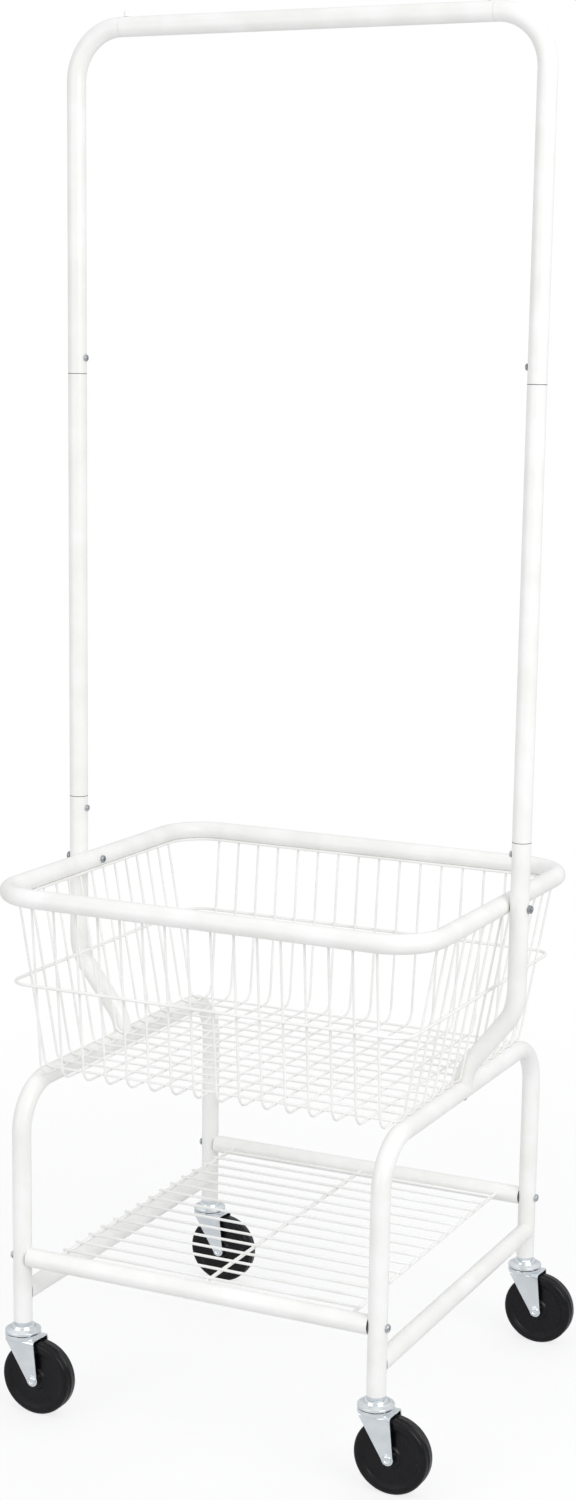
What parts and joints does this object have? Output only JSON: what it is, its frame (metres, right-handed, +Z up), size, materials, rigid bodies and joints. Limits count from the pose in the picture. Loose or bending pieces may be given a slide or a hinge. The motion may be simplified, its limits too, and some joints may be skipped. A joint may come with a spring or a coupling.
{
  "type": "rolling laundry cart with hanging bar",
  "caption": "Rolling laundry cart: wire basket on a tube frame over a wire shelf, with a tall hanging bar between two posts, on swivel casters.",
  "frame": {"origin": "on the floor under the middle of the cart", "axes": "+Z up along the posts, +X towards the right side frame and along the hanging bar, -Y is the front"},
  "size_m": [0.7056, 0.582, 1.8548],
  "materials": {
    "white_powder_coat": "satin powder coat",
    "zinc_plate": "bright zinc plate",
    "zinc_screws": "zinc-plated fasteners",
    "bare_steel": "machined",
    "black_nylon": "moulded",
    "black_rubber": "smooth hard rubber"
  },
  "bodies": {
    "frame": {"side_frame_left": "white_powder_coat", "side_frame_right": "white_powder_coat", "side_stretcher_left": "white_powder_coat", "side_stretcher_right": "white_powder_coat", "shelf_front_tube": "white_powder_coat", "shelf_back_tube": "white_powder_coat", "shelf_long_wires": "white_powder_coat", "shelf_cross_wires": "white_powder_coat", "basket_rim": "white_powder_coat", "basket_top_ring": "white_powder_coat", "basket_mid_ring": "white_powder_coat", "basket_long_wires": "white_powder_coat", "basket_side_wires": "white_powder_coat", "lower_post_left": "white_powder_coat", "lower_post_right": "white_powder_coat", "middle_post_left": "white_powder_coat", "middle_post_right": "white_powder_coat", "upper_corner_left": "white_powder_coat", "upper_corner_right": "white_powder_coat", "crossbar": "white_powder_coat", "crossbar_screws": "white_powder_coat", "shelf_bolts": "zinc_screws", "post_joint_screws": "zinc_screws", "rim_bolts": "zinc_screws", "rim_nuts": "zinc_screws", "foot_bolts": "zinc_screws", "foot_nuts": "zinc_screws", "shelf_plugs": "bare_steel", "leg_inserts": "black_nylon", "caster_stems": "zinc_plate", "caster_upper_races": "zinc_plate", "caster_balls": "bare_steel"},
    "caster_front_left": {"fork_front_left": "zinc_plate", "axle_front_left": "zinc_plate"},
    "roller_front_left": {"wheel_front_left": "black_rubber", "hub_bush_front_left": "bare_steel"},
    "caster_front_right": {"fork_front_right": "zinc_plate", "axle_front_right": "zinc_plate"},
    "roller_front_right": {"wheel_front_right": "black_rubber", "hub_bush_front_right": "bare_steel"},
    "caster_back_left": {"fork_back_left": "zinc_plate", "axle_back_left": "zinc_plate"},
    "roller_back_left": {"wheel_back_left": "black_rubber", "hub_bush_back_left": "bare_steel"},
    "caster_back_right": {"fork_back_right": "zinc_plate", "axle_back_right": "zinc_plate"},
    "roller_back_right": {"wheel_back_right": "black_rubber", "hub_bush_back_right": "bare_steel"}
  },
  "joints": [
    {"name": "swivel_front_left", "type": "hinge", "parent": "frame", "child": "caster_front_left", "pos_m": [-0.262, -0.267, 0.11], "axis": [0, 0, 1], "continuous": true},
    {"name": "roll_front_left", "type": "hinge", "parent": "caster_front_left", "child": "roller_front_left", "pos_m": [-0.237, -0.267, 0.0508], "axis": [0, 1, 0], "continuous": true},
    {"name": "swivel_front_right", "type": "hinge", "parent": "frame", "child": "caster_front_right", "pos_m": [0.262, -0.267, 0.11], "axis": [0, 0, 1], "continuous": true},
    {"name": "roll_front_right", "type": "hinge", "parent": "caster_front_right", "child": "roller_front_right", "pos_m": [0.287, -0.267, 0.0508], "axis": [0, 1, 0], "continuous": true},
    {"name": "swivel_back_left", "type": "hinge", "parent": "frame", "child": "caster_back_left", "pos_m": [-0.262, 0.267, 0.11], "axis": [0, 0, 1], "continuous": true},
    {"name": "roll_back_left", "type": "hinge", "parent": "caster_back_left", "child": "roller_back_left", "pos_m": [-0.237, 0.267, 0.0508], "axis": [0, 1, 0], "continuous": true},
    {"name": "swivel_back_right", "type": "hinge", "parent": "frame", "child": "caster_back_right", "pos_m": [0.262, 0.267, 0.11], "axis": [0, 0, 1], "continuous": true},
    {"name": "roll_back_right", "type": "hinge", "parent": "caster_back_right", "child": "roller_back_right", "pos_m": [0.287, 0.267, 0.0508], "axis": [0, 1, 0], "continuous": true}
  ]
}
